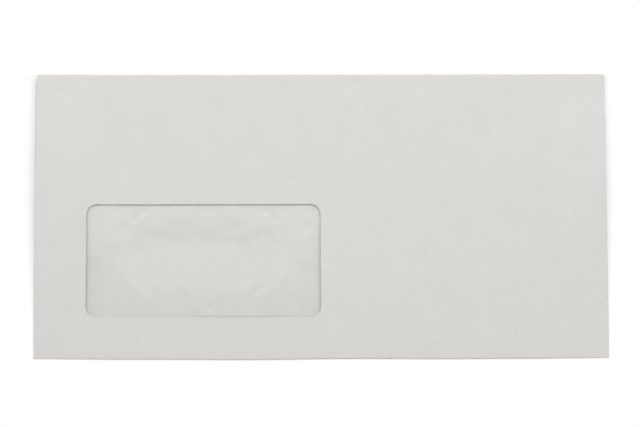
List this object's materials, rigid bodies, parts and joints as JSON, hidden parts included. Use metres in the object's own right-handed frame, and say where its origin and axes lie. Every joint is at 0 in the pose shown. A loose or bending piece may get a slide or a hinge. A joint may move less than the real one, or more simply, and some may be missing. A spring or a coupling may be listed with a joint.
{
  "type": "window envelope",
  "caption": "Closed paper wallet envelope with a rounded clear-film address window, glued side seams and a gummed seal flap that hinges open on the top crease.",
  "frame": {"origin": "under the middle of the envelope, on the surface that it lies on face up", "axes": "+X along the long side to the right of the front, +Y up the front towards the seal flap's crease, +Z out of the front"},
  "size_m": [0.22, 0.11, 0.0016],
  "materials": {
    "grey_paper": "matte light grey recycled paper with faint fibres and flecks",
    "clear_film": "clear glossy film, slightly wrinkled",
    "clear_glue": "dried adhesive",
    "dry_gum": "dried satin gum"
  },
  "bodies": {
    "envelope": {"front_panel": "grey_paper", "window_film": "clear_film", "window_glue": "clear_glue", "left_side_flap": "grey_paper", "right_side_flap": "grey_paper", "left_fold": "grey_paper", "right_fold": "grey_paper", "left_seam_glue": "clear_glue", "right_seam_glue": "clear_glue", "back_panel": "grey_paper", "bottom_fold": "grey_paper", "top_fold_front_half": "grey_paper"},
    "flap": {"seal_flap": "grey_paper", "top_fold_flap_half": "grey_paper", "flap_gum": "dry_gum"}
  },
  "joints": [
    {"name": "flap_crease", "type": "hinge", "parent": "envelope", "child": "flap", "pos_m": [0, 0.055, 0.00082], "axis": [1, 0, 0], "range_deg": [0, 180]}
  ]
}
